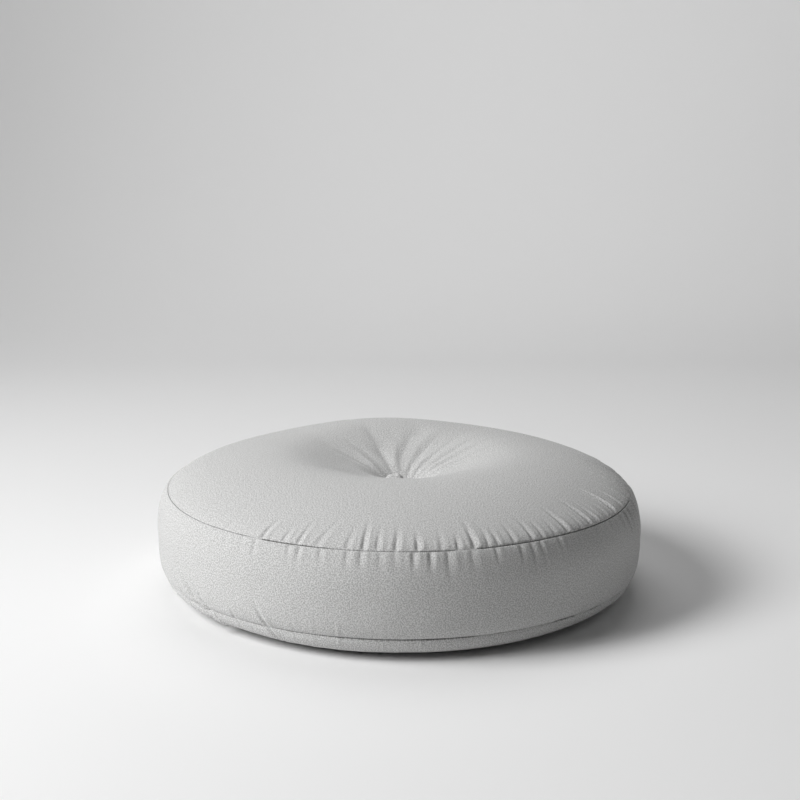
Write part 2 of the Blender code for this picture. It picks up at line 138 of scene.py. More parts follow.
def bottom_outline(heel, seam_step, heel_step, past):
    """Down the strip to the heel, in under it to the flat foot, and straight to the middle."""
    level = np.array([17.0, 0.0]) * MM
    strip = bezier(BOTTOM_SEAM, BOTTOM_SEAM + seam_step, heel + heel_step, heel)
    under = bezier(heel, heel - past * heel_step, FOOT + level, FOOT)
    return Outline(np.concatenate([strip, under, [(0.0, 0.0)]]))


top = top_outline()
band = band_outline()
bottom = bottom_outline(
    heel=np.array([213.6, 11.0]) * MM,
    seam_step=np.array([-1.6, -4.8]) * MM,
    heel_step=np.array([2.6, 1.2]) * MM,
    past=3.8,
)
full_bottom = bottom_outline(
    heel=np.array([212.5, 7.4]) * MM,
    seam_step=np.array([0.0, -6.5]) * MM,
    heel_step=np.array([4.4, 2.2]) * MM,
    past=2.4,
)
lengths = [round(outline.length / MM) for outline in (top, band, bottom)]
print("cloth in mm, top, band and bottom:", lengths)

# %% [markdown]
# ## Not quite round, not quite level
#
# A filled cushion is never a true turned shape. Its outline wanders by half a millimetre, its
# seams rise and dip by one or two, and its crown leans a little to the back. Slow cosine waves
# round the cushion do this better than noise: they stay smooth, close on themselves, and each one
# has a size and a crest that can be read off the real thing.

# %% Slow waves round the cushion
HEIGHT_WAVES = ((1, 1.5, -70), (3, 0.5, 20), (5, 0.25, 50))  # order, mm, angle of a crest
CROWN_WAVES = ((1, 2.2, 150), (2, 0.9, 22), (3, 1.5, -50), (4, 0.4, 11))
OUTLINE_WAVES = ((2, 0.6, 50), (4, 0.45, 0), (6, 0.3, 0))
# Each row: angle, and how far the edge of the bottom has gone over to its fuller form there.
FULLNESS = np.array(((-180, 0.0), (-47, 0.0), (-19, 1.0), (29, 1.0), (57, 0.0), (180, 0.0)))


def turned_by(angle, start):
    """The angle measured from start, between -180 and 180."""
    return (angle - start + 180.0) % 360.0 - 180.0


def read_round(table, angle):
    """The table read at these angles."""
    return np.interp(turned_by(angle, 0.0), table[:, 0], table[:, 1])


def waves(table, angle):
    """The sum of amplitude times cos(order (angle - crest)), in metres."""
    return sum(rise * MM * np.cos(np.radians(order * (angle - crest))) for order, rise, crest in table)


def crown_share(radius):
    """1 - (1 - x^2)^2 out to the crown, then cos^2 down to nothing at the seam."""
    inner = 1 - (1 - np.minimum(radius / CROWN[0], 1.0) ** 2) ** 2
    outer = np.clip((radius - CROWN[0]) / (TOP_SEAM[0] - CROWN[0]), 0.0, 1.0)
    return inner * np.cos(outer * np.pi / 2) ** 2


def place(outline, angle, distance, inset):
    """Turns the outline's point at (distance, inset) about the axis, with the slow waves added."""
    radius, height = outline.at(distance, inset)
    if outline is bottom:
        share = read_round(FULLNESS, angle)
        full_radius, full_height = full_bottom.at(distance, inset)
        radius, height = radius + share * (full_radius - radius), height + share * (full_height - height)
    radius = radius * (1 + waves(OUTLINE_WAVES, angle) / BULGE[0])
    height = height * (1 + waves(HEIGHT_WAVES, angle) / TOP_SEAM[1])
    if outline.crowned:
        height = height + crown_share(outline.at(distance, 0.0)[0]) * waves(CROWN_WAVES, angle)
    turned = np.radians(angle)
    return np.stack([radius * np.sin(turned), -radius * np.cos(turned), height], 1)


# %% [markdown]
# ## Puckers at the seams
#
# More cloth is sewn into each seam than the seam is long, so the cloth stands up in a small pillow
# beside the seam, and sharp little troughs hold the pillow down where the extra cloth is folded
# away. They could be sculpted, or left to a simulation, which would put them anywhere. Here each
# is a row of a table: where it starts, how deep, long and wide it is, and how far it leans. Its
# section is a soft V between two low ridges. Along its run it is deep at the seam and fades. At the
# right, where the cloth turns away, it also lies in pleats like shingles.

# %% Puckers as tables
# Each row: angle in degrees, depth mm, reach mm, half width mm, lean in degrees for each 10 mm.
TOP_PUCKERS = (
    (-61, 0.49, 46, 2.7, 0.0),
    (-53, 0.43, 40, 2.7, 0.0),
    (-43, 0.49, 34, 2.6, 0.2),
    (-32.2, 1.77, 32, 1.9, 0.5),
    (-26.5, 1.30, 24, 1.9, 0.3),
    (-22.8, 1.42, 34, 1.8, 0.4),
    (-18.5, 0.99, 42, 2.4, 0.9),
    (-11.5, 1.13, 32, 2.1, 0.3),
    (-7.8, 1.91, 44, 1.9, 0.0),
    (-4.8, 1.28, 34, 1.8, 0.1),
    (-0.8, 1.80, 34, 2.1, 0.2),
    (4.0, 2.10, 26, 2.0, 0.0),
    (9.2, 0.92, 30, 2.2, 0.0),
    (12.9, 1.90, 20, 1.8, 0.0),
    (16.6, 2.30, 38, 2.3, -0.1),
    (19.8, 1.28, 27, 1.6, 0.0),
    (22.2, 1.13, 27, 1.6, -0.2),
    (26.2, 1.21, 30, 1.8, -0.2),
    (31.0, 1.42, 34, 1.8, -0.2),
    (33.8, 1.06, 30, 1.6, -0.1),
    (37.4, 0.85, 27, 1.8, 0.0),
    (41.4, 2.10, 44, 2.0, -0.2),
    (46.0, 0.70, 28, 1.6, 0.0),
    (49.5, 2.50, 46, 1.7, -0.1),
    (52.7, 2.00, 40, 1.6, -0.1),
    (57.6, 1.10, 24, 1.4, 0.0),
    (61.6, 3.60, 46, 1.6, 0.1),
    (64.6, 2.00, 28, 1.4, 0.0),
    (67.4, 2.90, 38, 1.5, 0.1),
    (70.4, 2.30, 32, 1.4, 0.0),
    (73.4, 3.00, 46, 1.5, 0.1),
    (77.0, 2.50, 48, 1.6, 0.0),
    (81.0, 2.60, 58, 1.7, 0.0),
    (85.6, 2.20, 70, 1.8, 0.0),
    (90.6, 2.40, 96, 2.0, 0.0),
    (96.0, 1.80, 100, 2.2, 0.0),
)
BAND_PUCKERS = (
    (-62, 0.43, 40, 3.0, 0.0),
    (-42, 0.65, 32, 2.5, 0.0),
    (-37.2, 0.72, 32, 2.5, 0.0),
    (-33.4, 1.14, 28, 2.1, 0.0),
    (-24.8, 1.31, 20, 1.9, 0.2),
    (-22.2, 1.39, 23, 1.8, 0.0),
    (-17.2, 1.26, 18, 2.1, 0.2),
    (-11.2, 1.32, 20, 2.1, 0.0),
    (-8.2, 1.49, 22, 2.1, 0.0),
    (-4.2, 1.03, 20, 2.3, 0.0),
    (-1.0, 0.92, 19, 2.1, 0.0),
    (3.0, 2.07, 22, 2.2, 0.0),
    (6.6, 2.24, 23, 2.1, 0.0),
    (10.4, 1.49, 29, 2.6, 0.0),
    (15.6, 0.91, 29, 2.5, 0.1),
    (21.2, 1.32, 18, 1.8, 0.2),
    (27.2, 1.24, 24, 1.9, 0.1),
    (30.0, 1.48, 29, 1.8, 0.2),
    (32.4, 1.39, 29, 1.6, 0.3),
    (37.6, 1.39, 24, 1.9, 0.3),
    (44.0, 0.75, 23, 1.9, 0.2),
    (50.2, 1.31, 26, 1.9, 0.4),
    (57.0, 1.13, 26, 1.9, 0.3),
    (63.0, 2.40, 30, 1.7, 0.3),
    (66.4, 3.60, 42, 1.7, 0.3),
    (69.6, 3.90, 46, 1.7, 0.2),
    (72.8, 3.90, 48, 1.7, 0.2),
    (76.4, 3.40, 46, 1.8, 0.1),
    (80.4, 2.60, 44, 1.9, 0.0),
    (85.0, 2.00, 42, 2.0, 0.0),
)
# Folds that rise from the bottom seam; one with a depth below nothing is a ridge.
LOW_FOLDS = (
    (-58.5, 2.40, 46, 3.0, -2.0),
    (-51.8, 6.00, 52, 4.2, -2.4),
    (-47.8, -1.60, 46, 1.3, -2.4),
    (-38.8, 1.50, 22, 1.6, -1.0),
    (-34.8, 0.80, 20, 1.5, -0.8),
    (-29.8, 2.50, 32, 1.9, -1.3),
    (-23.9, -0.46, 26, 1.5, -0.4),
    (-18.8, -0.46, 26, 1.5, 0.0),
    (-13.0, -0.46, 24, 1.5, 0.0),
    (-3.4, -0.34, 24, 1.5, 0.0),
    (4.6, -0.46, 24, 1.5, 0.0),
    (17.0, -0.57, 28, 1.9, 0.6),
    (34.0, 0.52, 32, 2.5, 0.8),
    (43.6, 0.86, 36, 2.0, 1.0),
    (50.0, 0.98, 34, 1.9, 1.2),
    (56.6, 0.69, 34, 2.0, 1.0),
)

# Pleats rise slowly and drop behind. The angle is that of the crest, and its height takes the
# place of the depth.
TOP_PLEATS = (
    (55.8, 1.05, 24, 1.8, 0.0),
    (59.0, 0.90, 22, 1.8, 0.0),
    (62.7, 1.80, 42, 2.2, 0.0),
    (68.3, 1.40, 36, 1.8, 0.0),
    (74.2, 1.40, 42, 2.0, 0.0),
    (81.8, 1.40, 54, 2.4, 0.0),
    (91.0, 1.20, 92, 2.8, 0.0),
    (102.0, 0.90, 90, 3.0, 0.0),
)
BAND_PLEATS = (
    (60.6, 1.00, 26, 2.0, 0.2),
    (67.0, 1.40, 46, 2.0, 0.3),
    (73.2, 1.50, 50, 2.0, 0.2),
    (80.8, 1.10, 44, 2.4, 0.0),
    (90.6, 1.00, 44, 2.8, 0.0),
)

# %% Puckers for the side that doesn't show
BACK_END = 292.0
BACK_PITCH = 6.5
BACK_DEPTH, BACK_REACH, BACK_WIDTH, BACK_LEAN = 0.8, 40.0, 2.4, 0.4


def all_round(puckers, pleats):
    """The table, and after the last pleat soft ones at a pitch that two slow sines vary."""
    start = pleats[-1][0] + BACK_PITCH
    number = np.arange(int((BACK_END - start) / BACK_PITCH))
    sway, swing = np.sin(2.4 * number), np.cos(1.7 * number)
    columns = (
        start + BACK_PITCH * (number + 0.3 * sway),
        BACK_DEPTH * (1 + 0.5 * swing),
        BACK_REACH * (1 + 0.3 * sway),
        np.full(len(number), BACK_WIDTH),
        BACK_LEAN * swing,
    )
    return np.concatenate([np.array(puckers), np.stack(columns, 1)])


top_puckers = all_round(TOP_PUCKERS, TOP_PLEATS)
band_puckers = all_round(BAND_PUCKERS, BAND_PLEATS)
low_folds = np.array(LOW_FOLDS)
print("puckers:", len(top_puckers), "over the top seam,", len(band_puckers), "under it")

# %% The lift of pillow and puckers
PILLOW = 1.4 * MM
PILLOW_RISE = 3.5 * MM
PILLOW_REACH = 34.0 * MM
FOLD_RISE = 2.2 * MM


def strength(run, rise, reach):
    """1 - exp(-run/rise) at the seam, times (1 - run/reach)^1.8 as it fades."""
    left = np.clip(1 - run / reach, 0.0, 1.0)
    return (1 - np.exp(-np.maximum(run, 0.0) / rise)) * left**1.8


# Each row: angle, and how much of the pillow stands beside the top seam there: over it, under it.
TOP_PILLOW = np.array(
    (
        (-180, 1.0), (-150, 0.2), (-112, -1.4), (-78, -0.8), (-50, 0.6), (-30, 1), (44, 1),
        (62, 0.1), (80, -0.3), (100, -0.5), (112, 0.6), (180, 1),
    )
)  # fmt: skip
BAND_PILLOW = np.array(
    ((-180, 1.0), (38, 1.0), (48, -0.6), (62, -0.8), (76, 0.0), (96, 0.4), (116, 1.0), (180, 1.0))
)


def pillow_lift(run, share=1.0):
    """The pillow's height times its strength along the run, and the share of it that stands."""
    return share * PILLOW * strength(run, PILLOW_RISE, PILLOW_REACH)


STEEP_SIDE = 0.75
SLOW_SIDE = 1.2
NEAR_SIDE = 2.2
FAR_SIDE = 0.45
RIDGES = ((0.45, 2.5, 1.1), (0.2, -1.7, 0.8))  # height, place and width beside a V of depth 1


def section(across):
    """A V, exp(-|x|^1.6), steep on its first side and slow on the other, with a ridge at each."""
    x = np.abs(across) / np.where(across < 0, STEEP_SIDE, SLOW_SIDE)
    ridges = sum(rise * np.exp(-(((across - at) / wide) ** 2)) for rise, at, wide in RIDGES)
    return ridges - np.exp(-(x**1.6))


def shingle(across):
    """A crest, exp(-|x|^1.5), that rises slowly on its near side and drops steeply on the far one."""
    return np.exp(-((np.abs(across) / np.where(across < 0, NEAR_SIDE, FAR_SIDE)) ** 1.5))


def fold_lift(folds, angle, run, radius, way=1.0):
    """The sum over folds of depth, strength along and section across.

    way turns the lean round where the folds run on over the seam.
    """
    lift = np.zeros_like(run)
    for start, depth, reach, width, lean in folds:
        middle = start + way * lean * run / (10 * MM)
        half_width = np.degrees(width * MM / radius)
        along = strength(run, FOLD_RISE, reach * MM)
        lift = lift + depth * MM * along * section(turned_by(angle, middle) / half_width)
    return lift


def pleat_lift(pleats, angle, run):
    """The sum over pleats of height, 1 - (run/reach)^2 along and the shingle across."""
    lift = np.zeros_like(run)
    for start, height, reach, width, lean in pleats:
        middle = start + lean * run / (10 * MM)
        half_width = np.degrees(width * MM / TOP_SEAM[0])
        along = 1 - np.exp(-np.maximum(run, 0.0) / FOLD_RISE)
        along = along * (1 - np.clip(run / (reach * MM), 0.0, 1.0) ** 2)
        lift = lift + height * MM * along * shingle(turned_by(angle, middle) / half_width)
    return lift


def over_seam(angle, run):
    """Pillow, puckers and pleats of the top panel, this far in from its seam."""
    pillow = pillow_lift(run, read_round(TOP_PILLOW, angle))
    lift = pillow + fold_lift(top_puckers, angle, run, TOP_SEAM[0])
    return lift + pleat_lift(TOP_PLEATS, angle, run)


def under_seam(angle, run):
    """The same for the band, this far down from its top seam."""
    pillow = pillow_lift(run, read_round(BAND_PILLOW, angle))
    lift = pillow + fold_lift(band_puckers, angle, run, TOP_SEAM[0])
    return lift + pleat_lift(BAND_PLEATS, angle, run)


def by_low_seam(angle, run, way=1.0):
    """Pillow and low folds, this far from the bottom seam on either side of it."""
    return pillow_lift(run) + fold_lift(low_folds, angle, run, BOTTOM_SEAM[0], way)


# %% [markdown]
# ## The tuft
#
# One hidden stitch pulls the middle of the top down. It draws the cloth into a pit whose near side
# stands up as a clear lip, and whose left side runs out as one wide valley. The cloth that is drawn
# in folds into creases that fan out behind it, and in the pit it stands up in one small mound. A
# sculpting brush could do this by eye. Here the pit is a lopsided cone cut off along the lip, and
# each crease a row of a table, so that every one can be moved, deepened or turned by itself.

# %% The pit and its lip
PIT = np.array([4.0, 3.0]) * MM
HUB = np.array([3.0, 0.0]) * MM
PIT_DEPTH = 21.0 * MM
PIT_LEFT, PIT_RIGHT, PIT_BACK, PIT_FRONT = np.array([48.0, 42.0, 34.0, 24.0]) * MM
LIP_RUN = 3.5 * MM
# Each row: a place on the lip, across and along, in mm.
LIP = MM * np.array(
    (
        (-115, 8), (-90, 0), (-74, -6), (-53, -12), (-35, -15), (-12, -13),
        (-4, -11), (4, -9), (12, -9), (40, -14), (80, -10),
    )
)  # fmt: skip
# The small mound in the pit. Each row: across mm, along mm, height mm, half widths mm.
DABS = ((-1.5, 1.0, 12.0, 11.0, 6.5), (3.0, 1.0, 4.6, 6.5, 5.5))


def cone_drop(x, y):
    """Depth (1 - away)^2 of a lopsided cone about the stitch."""
    across = (x - PIT[0]) / np.where(x < PIT[0], PIT_LEFT, PIT_RIGHT)
    along = (y - PIT[1]) / np.where(y < PIT[1], PIT_FRONT, PIT_BACK)
    return PIT_DEPTH * np.clip(1 - np.hypot(across, along), 0.0, 1.0) ** 2


def pit_drop(x, y):
    """The cone, times b (2 - b) of the way b behind the line of the lip."""
    behind = np.clip((y - np.interp(x, LIP[:, 0], LIP[:, 1])) / LIP_RUN, 0.0, 1.0)
    return cone_drop(x, y) * behind * (2 - behind)


# %% Creases of the tuft
# Each row: angle, depth mm, start mm, reach mm, half width in degrees, lean in degrees per 10 mm.
TUFT_CREASES = np.array(
    (
        (241, -0.7, 14, 90, 7.0, -2.9),
        (207, 1.3, 14, 112, 7.0, -0.9),
        (189, 1.3, 20, 120, 6.0, -2.0),
        (170, 1.1, 10, 120, 4.2, -1.9),
        (148, 0.8, 5, 150, 4.0, -0.6),
        (134, 0.7, 6, 150, 3.4, -0.4),
        (121, 0.8, 5, 156, 3.6, 0.0),
        (107, 0.75, 6, 140, 3.4, 0.1),
        (92, 0.7, 8, 130, 4.0, 0.8),
        (60, 0.5, 20, 90, 9.0, 0.0),
        (-60, 0.5, 30, 90, 8.0, 0.0),
    )
)
CREASE_LEAST = 1.9 * MM
CREASE_ROOM = 1.6 * MM


def crease_lift(angle, radius):
    """The sum over creases of depth, 27/4 x (1 - x)^2 from start to reach, and the section."""
    lift = np.zeros_like(radius)
    for first, depth, start, reach, width, lean in TUFT_CREASES:
        middle = first + lean * radius / (10 * MM)
        x = np.clip((radius / MM - start) / (reach - start), 0.0, 1.0)
        half_width = np.maximum(width, np.degrees(CREASE_LEAST / np.maximum(radius, CREASE_LEAST)))
        fading = 27 / 4 * x * (1 - x) ** 2
        lift = lift + depth * MM * fading * section(turned_by(middle, angle) / half_width)
    return lift


def tuft_height(x, y):
    """What the stitch adds to the height at a place in plan: creases less pit, and exp(-r^4) dabs."""
    from_hub = np.hypot(x - HUB[0], y - HUB[1])
    height = crease_lift(np.degrees(np.arctan2(x - HUB[0], HUB[1] - y)), from_hub) - pit_drop(x, y)
    for across, along, rise, wide, deep in DABS:
        off = ((x / MM - across) / wide) ** 2 + ((y / MM - along) / deep) ** 2
        height = height + rise * MM * np.exp(-(off**2))
    return height


def drawn_in(points, hidden=False):
    """The points with the tuft's height added. Hidden ones follow the whole cone, under the creases."""
    x, y = points[:, 0], points[:, 1]
    under = -cone_drop(x, y) - CREASE_ROOM * crown_share(np.hypot(x, y))
    points[:, 2] += np.where(hidden, under, tuft_height(x, y))
    return points


# %% [markdown]
# ## Rings and triangles
#
# Every piece is a skin of closed rings. Near the middle a ring needs fewer points than at the rim,
# or its triangles turn into slivers, so a ring may have half or twice the points of the next. A
# Remesh modifier could even this out, but it would soften the puckers. Here the triangles between
# two rings are written as whole arrays: two to each step where the counts match, three to each
# pair of steps where they halve.


# %% Where the points of a ring stand
# Each row: angle, and how closely the points stand there.
CLOSENESS = np.array(
    ((-180, 1.0), (-80, 1.0), (-62, 2.0), (54, 2.0), (60, 3.6), (102, 3.6), (112, 1.0), (180, 1.0))
)
FINE_STEPS = 7201


def ring_angles(count):
    """The angles at even shares of the summed closeness; the last is the first, one turn on."""
    angle = np.linspace(-180.0, 180.0, FINE_STEPS)
    summed = np.cumsum(np.interp(angle, CLOSENESS[:, 0], CLOSENESS[:, 1]))
    share = (summed - summed[0]) / (summed[-1] - summed[0])
    return np.interp(np.linspace(0.0, 1.0, count + 1), share, angle)


# %% Sew rings into a mesh
def between(first, second):
    """Triangles between two rings, given as (first point, count), in points that include the wrap."""
    (a, n), (b, m) = first, second
    if n == 1 or m == 1:
        start, count, pole = (b, m, a) if n == 1 else (a, n, b)
        j = start + np.arange(count)
        fan = np.stack([j, j + 1, np.full(count, pole)], 1)
        return fan[:, ::-1] if m == 1 else fan
    if n == m:
        j = np.arange(n)
        return np.concatenate(
            [
                np.stack([a + j, b + j, b + j + 1], 1),
                np.stack([a + j, b + j + 1, a + j + 1], 1),
            ]
        )
    if n == 2 * m:
        return between(second, first)[:, ::-1]
    assert m == 2 * n, (n, m)
    j = np.arange(n)
    return np.concatenate(
        [
            np.stack([a + j, b + 2 * j, b + 2 * j + 1], 1),
            np.stack([a + j, b + 2 * j + 1, a + j + 1], 1),
            np.stack([a + j + 1, b + 2 * j + 1, b + 2 * j + 2], 1),
        ]
    )


def flat_columns(rows):
    """Per point: angle, distance and inset, from rows of (count, distance, inset) with the wrap."""
    angle = [ring_angles(n) if n > 1 else np.zeros(1) for n, _, _ in rows]
    sizes = [len(a) for a in angle]
    distance = np.repeat([row[1] for row in rows], sizes)
    inset = np.repeat([row[2] for row in rows], sizes)
    return np.concatenate(angle), distance, inset, sizes


def skin(name, points, sizes, uv):
    """A closed mesh: points carry a doubled one at each ring's wrap, which is merged here."""
    starts = np.concatenate([[0], np.cumsum(sizes)[:-1]])
    counts = [max(size - 1, 1) for size in sizes]
    rings = list(zip(starts, counts))
    corners = np.concatenate([between(a, b) for a, b in zip(rings, rings[1:])])
    keep = np.ones(len(points), bool)
    own = np.arange(len(points))
    for start, size in zip(starts, sizes):
        if size > 1:
            keep[start + size - 1] = False
            own[start + size - 1] = start
    number = np.cumsum(keep) - 1
    triangles = number[own[corners]]
    spots = points[keep]
    a, b, c = (spots[triangles[:, k]] for k in range(3))
    if np.einsum("ij,ij->", a, np.cross(b, c)) < 0:
        corners, triangles = corners[:, ::-1], triangles[:, ::-1]
    mesh = bpy.data.meshes.new(name)
    mesh.vertices.add(len(spots))
    mesh.loops.add(3 * len(triangles))
    mesh.polygons.add(len(triangles))
    mesh.vertices.foreach_set("co", spots.ravel())
    mesh.loops.foreach_set("vertex_index", triangles.ravel())
    mesh.polygons.foreach_set("loop_start", np.arange(0, 3 * len(triangles), 3))
    layer = mesh.uv_layers.new(name="cloth_metres")
    layer.data.foreach_set("uv", uv[corners.ravel()].ravel())
    mesh.update(calc_edges=True)
    mesh.validate()
    mesh.shade_smooth()
    piece = bpy.data.objects.new(name, mesh)
    bpy.context.scene.collection.objects.link(piece)
    print(name, len(triangles), "triangles")
    return piece


# %% [markdown]
# ## Letting the filling push
#
# Worked-out shapes are too even. Real filling pushes the cloth out against its seams, its tuft and
# the floor, and the cloth settles into slow swellings and dents that differ all the way round.
# Noise could imitate this, but it doesn't know where cloth is held. Blender's Cloth does: a coarse
# skin of the whole cushion starts a little small, is pinned where the stitches and the floor hold
# it, and is blown up with gravity off. Only what changes quickly round the cushion is kept, and no
# point moves further than a cap, because the outline itself was measured already.

# %% A coarse skin of the whole cushion
COARSE_RIM = 256
COARSE_STEP = 5.0 * MM
START_SMALLER = 1.5 * MM
HELD_RUN = 20.0 * MM
TUFT_HELD = 30.0 * MM
top.start, band.start, bottom.start = 0.0, top.length, top.length + band.length


def coarse_count(radius):
    """Points in a coarse ring: the rim's count, halved as the rings get small."""
    for halving, least in enumerate((90, 45, 22, 11)):
        if radius >= least * MM:
            return COARSE_RIM >> halving
    return COARSE_RIM // 16


def coarse_rows():
    """Rows as (outline, distance) at even steps: from the tuft out, down, and in to the foot."""
    rows = []
    for outline in (top, band, bottom):
        distances = np.linspace(0.0, outline.length, round(outline.length / COARSE_STEP) + 1)
        if outline is band:
            distances = distances[1:-1]
        rows += [(outline, distance) for distance in distances]
    return rows


def held_share(outline, distance):
    """1 where stitches or the floor hold the cloth, falling straight to 0 over the run beside them."""
    if outline is bottom and distance >= bottom.at_radius(FOOT[0]):
        return 1.0
    first = TUFT_HELD if outline is top else 0.0
    last = bottom.at_radius(FOOT[0]) if outline is bottom else outline.length
    away = min(distance - first, last - distance)
    return float(np.clip(1 - away / HELD_RUN, 0.0, 1.0))


# %% Blow it up
PRESSURE = 4.0
LOOSENESS = 0.02
QUALITY = 5
FRAMES = 20


def blown_up(piece, held):
    """The piece's points after the last frame of a cloth simulation with these points pinned."""
    group = piece.vertex_groups.new(name="held")
    group.add(np.flatnonzero(held).tolist(), 1.0, "REPLACE")
    modifier = piece.modifiers.new("filling", "CLOTH")
    settings = modifier.settings
    settings.quality = QUALITY
    settings.use_pressure = True
    settings.uniform_pressure_force = PRESSURE
    settings.shrink_min = -LOOSENESS
    settings.vertex_group_mass = "held"
    settings.effector_weights.gravity = 0.0
    modifier.point_cache.frame_end = FRAMES
    for number in range(1, FRAMES + 1):
        bpy.context.scene.frame_set(number)
    shape = piece.evaluated_get(bpy.context.evaluated_depsgraph_get()).to_mesh()
    points = np.empty(3 * len(shape.vertices))
    shape.vertices.foreach_get("co", points)
    bpy.context.scene.frame_set(1)
    return points.reshape(-1, 3)


def filled_table():
    """Per row and angle: the way gone outwards, along the ring and up, less the ring's mean."""
    rows = coarse_rows()
    rings, true_rings, held, counts = [], [], [], []
    for outline, distance in rows:
        radius = outline.at(distance, 0.0)[0]
        pole = radius < COARSE_STEP / 2
        angle = np.zeros(1) if pole else np.linspace(-180.0, 180.0, coarse_count(radius) + 1)
        share = held_share(outline, distance)
        smaller = START_SMALLER * (1 - share)
        rings.append(place(outline, angle, np.full(len(angle), distance), np.full(len(angle), smaller)))
        true_rings.append(place(outline, angle, np.full(len(angle), distance), np.zeros(len(angle))))
        counts.append(max(len(angle) - 1, 1))
        held.append(np.full(counts[-1], share == 1.0))
    sizes = [len(ring) for ring in rings]
    piece = skin("filling_skin", np.concatenate(rings), sizes, np.zeros((sum(sizes), 2)))
    moved = blown_up(piece, np.concatenate(held))
    bpy.data.objects.remove(piece)
    table = np.zeros((len(rows), COARSE_RIM, 3))
    even = np.linspace(-180.0, 180.0, COARSE_RIM, endpoint=False)
    start = 0
    for row, (count, true) in enumerate(zip(counts, true_rings)):
        step = moved[start : start + count] - true[:count]
        start += count
        if count == 1:
            continue
        angle = np.linspace(-180.0, 180.0, count, endpoint=False)
        turned = np.radians(angle)
        parts = (
            step[:, 0] * np.sin(turned) - step[:, 1] * np.cos(turned),
            step[:, 0] * np.cos(turned) + step[:, 1] * np.sin(turned),
            step[:, 2],
        )
        for column, part in enumerate(parts):
            table[row, :, column] = np.interp(even, angle, part - part.mean(), period=360.0)
    return np.array([outline.start + distance for outline, distance in rows]), table


CAP = 4.0 * MM
MEASURED_ORDERS = 6
# Each row: angle, and the share of the push that is kept. The photo shows calm cloth at the front.
KEPT_PUSH = np.array(((-180, 0.5), (-115, 0.5), (-80, 0.12), (95, 0.12), (130, 0.5), (180, 0.5)))
row_distances, filled = filled_table()
waves_round = np.fft.rfft(filled, axis=1)
waves_round[:, :MEASURED_ORDERS] = 0.0
filled = np.fft.irfft(waves_round, COARSE_RIM, axis=1)
size = np.linalg.norm(filled, axis=2)
print("filling moves the cloth by mm, mean and most:", (size.mean() / MM).round(2), end=" ")
print((size.max() / MM).round(2))
kept = read_round(KEPT_PUSH, np.linspace(-180.0, 180.0, COARSE_RIM, endpoint=False))
filled = filled * (kept * np.minimum(size, CAP) / np.maximum(size, SAME_POINT))[:, :, None]
even_rows = np.linspace(0.0, row_distances[-1], len(row_distances))
after = np.clip(np.searchsorted(row_distances, even_rows), 1, len(row_distances) - 1)
way = (even_rows - row_distances[after - 1]) / (row_distances[after] - row_distances[after - 1])
filled = filled[after - 1] + way[:, None, None] * (filled[after] - filled[after - 1])


# %% Read it anywhere
def spline_weights(t):
    """The four weights of a uniform cubic B-spline, so that no cell of the coarse skin shows."""
    inner = (3 * t**3 - 6 * t**2 + 4) / 6, (-3 * t**3 + 3 * t**2 + 3 * t + 1) / 6
    return (1 - t) ** 3 / 6, *inner, t**3 / 6


def settled(outline, angle, distance, points):
    """The points moved by the filling's push at their angle and distance."""
    row = np.clip((outline.start + distance) / even_rows[1], 0.0, len(even_rows) - 1.0)
    column = turned_by(angle, -180.0) % 360.0 * COARSE_RIM / 360.0
    first_row, first_column = np.floor(row).astype(int), np.floor(column).astype(int)
    push = np.zeros((len(angle), 3))
    for i, down in enumerate(spline_weights(row - first_row)):
        for j, across in enumerate(spline_weights(column - first_column)):
            rows = np.clip(first_row + i - 1, 0, len(even_rows) - 1)
            push += (down * across)[:, None] * filled[rows, (first_column + j - 1) % COARSE_RIM]
    turned = np.radians(angle)
    outwards, along, upwards = push.T
    points[:, 0] += outwards * np.sin(turned) + along * np.cos(turned)
    points[:, 1] += along * np.sin(turned) - outwards * np.cos(turned)
    points[:, 2] += upwards
    return points


# %% [markdown]
# ## The seams
#
# A plain seam has no cord or tape on it: two edges are folded in and sewn on the wrong side, and
# what shows is the narrow groove between them. A dark painted line would do from one side only.
# Here each edge rolls in over a small radius and goes down beside its neighbour. Where the seam is
# drawn tight the roll is small and the groove nearly closes, and elsewhere it gapes: a short table
# gives that along each seam.

# %% How open each seam is round the cushion
TOP_OPEN = np.array(
    (
        (-180, 0.6), (-80, 0.35), (-62, 0.25), (-56, 0.2), (-38, 0.25), (-34.6, 0.05), (-32.6, 0.05),
        (-31.6, 0.8), (-26, 0.9), (-17, 0.6), (-14, 0.25), (-6, 0.2), (2, 0.25), (4, 0.7), (11.8, 0.5),
        (12.6, 0.0), (17.0, 0.0), (18.0, 1.0), (60, 1.0), (68, 0.9), (95, 0.8), (180, 0.6),
    )
)  # fmt: skip
BOTTOM_OPEN = np.array(
    (
        (-180, 0.6), (-66, 0.4), (-54, 0.3), (-51.4, 0.9), (-48.8, 0.9), (-47.6, 0.1),
        (-45, 0.25), (-33, 0.3), (-30.8, 0.05), (-27.4, 0.05), (-25.6, 0.35), (-15, 0.4), (-13, 0.7),
        (0, 0.8), (2, 1.0), (9, 1.0), (9.8, 0.6), (15.6, 0.8), (16.8, 0.0), (35.4, 0.0),
        (36.6, 0.9), (42, 0.9), (43, 0.0), (47.6, 0.0), (48.6, 0.9), (51, 0.9), (52, 0.0),
        (56.6, 0.0), (58, 0.7), (70, 0.7), (180, 0.6),
    )
)  # fmt: skip
ROLL_TIGHT = 0.18 * MM
ROLL_OPEN = 0.65 * MM
HALF_GAP = 0.06 * MM
GAP_SHARE = 1.1
ROOM_REACH = 30.0 * MM


def roll_radius(table, angle):
    """The radius of the rolled edge, from tight to open as the table reads at this angle."""
    return ROLL_TIGHT + (ROLL_OPEN - ROLL_TIGHT) * read_round(table, angle)


